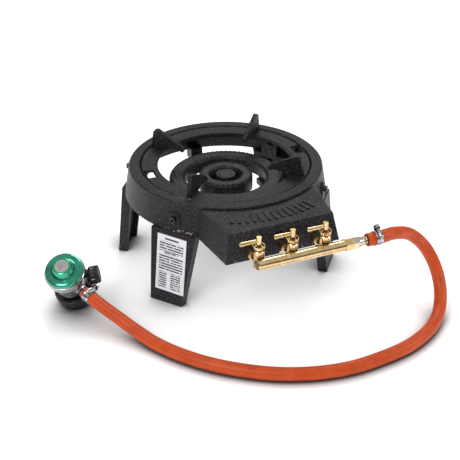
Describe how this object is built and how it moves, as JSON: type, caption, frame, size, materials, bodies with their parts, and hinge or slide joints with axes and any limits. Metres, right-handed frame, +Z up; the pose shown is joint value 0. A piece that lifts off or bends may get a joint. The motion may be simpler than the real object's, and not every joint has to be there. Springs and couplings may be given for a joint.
{
  "type": "gas burner stand",
  "caption": "Round cast gas burner stand on bolted legs, with concentric ring burners, a tapped console, a hose and a clip-on regulator.",
  "frame": {"origin": "on the floor, under the centre of the ring", "axes": "+Z up, -Y towards the taps, +X to the right as seen from the taps"},
  "size_m": [0.4983, 0.4683, 0.1765],
  "materials": {
    "iron": "rough black painted iron casting",
    "fastener_steel": "blackened steel screws",
    "brass": "polished brass",
    "nickel": "nickel-plated",
    "hose_rubber": "orange gas hose",
    "clamp_steel": "bright stainless band",
    "zinc_casting": "satin zinc die casting",
    "chrome_rim": "bright crimped rim",
    "green_enamel": "glossy green enamel",
    "sticker": "white disc with a green edge",
    "label": "white paper label",
    "seal_rubber": "black rubber",
    "spring_steel": "spring wire",
    "black_plastic": "black moulded plastic"
  },
  "bodies": {
    "stand": {"stand_body": "iron", "leg_front_left": "iron", "leg_front_right": "iron", "leg_rear_left": "iron", "leg_rear_right": "iron", "leg_bolts": "fastener_steel", "leg_nuts": "fastener_steel", "leg_label": "label", "outer_burner": "iron", "middle_burner": "iron", "centre_burner": "iron", "burner_screws": "fastener_steel", "manifold_tube": "brass", "manifold_cap": "brass", "tap_body_left": "brass", "tap_body_middle": "brass", "tap_body_right": "brass", "gland_nut_left": "brass", "gland_nut_middle": "brass", "gland_nut_right": "brass", "injector_left": "brass", "injector_middle": "brass", "injector_right": "brass", "union_nut": "brass", "taper_coupling": "nickel", "hose_barb": "brass", "hose": "hose_rubber", "stand_clamp_band": "clamp_steel", "stand_clamp_screw": "clamp_steel", "regulator_clamp_band": "clamp_steel", "regulator_clamp_screw": "clamp_steel", "regulator_body": "zinc_casting", "regulator_rim": "chrome_rim", "regulator_cap": "green_enamel", "regulator_sticker": "sticker", "regulator_diaphragm": "seal_rubber", "regulator_spring": "spring_steel", "regulator_adjuster": "brass", "regulator_nozzle": "zinc_casting", "inlet_seal": "seal_rubber"},
    "pan_ring": {"pan_support": "iron"},
    "left_tap": {"tap_stem_left": "brass", "tap_lever_left": "brass"},
    "middle_tap": {"tap_stem_middle": "brass", "tap_lever_middle": "brass"},
    "right_tap": {"tap_stem_right": "brass", "tap_lever_right": "brass"},
    "on_off_knob": {"regulator_knob": "black_plastic", "knob_shaft": "zinc_casting"},
    "collar": {"clip_collar": "black_plastic"}
  },
  "joints": [
    {"name": "pan_ring_lift", "type": "slide", "parent": "stand", "child": "pan_ring", "axis": [0, 0, 1], "range_m": [0, 0.06]},
    {"name": "left_tap_turn", "type": "hinge", "parent": "stand", "child": "left_tap", "pos_m": [-0.045, -0.212, 0.14], "axis": [0, 0, 1], "range_deg": [0, 90]},
    {"name": "middle_tap_turn", "type": "hinge", "parent": "stand", "child": "middle_tap", "pos_m": [0, -0.212, 0.14], "axis": [0, 0, 1], "range_deg": [0, 90]},
    {"name": "right_tap_turn", "type": "hinge", "parent": "stand", "child": "right_tap", "pos_m": [0.045, -0.212, 0.14], "axis": [0, 0, 1], "range_deg": [0, 90]},
    {"name": "knob_turn", "type": "hinge", "parent": "stand", "child": "on_off_knob", "pos_m": [-0.21444, -0.06523, 0.05208], "axis": [0.9529, -0.2528, 0.1677], "range_deg": [0, 90]},
    {"name": "collar_lift", "type": "slide", "parent": "stand", "child": "collar", "axis": [-0.265, -0.424, 0.866], "range_m": [0, 0.004]}
  ]
}
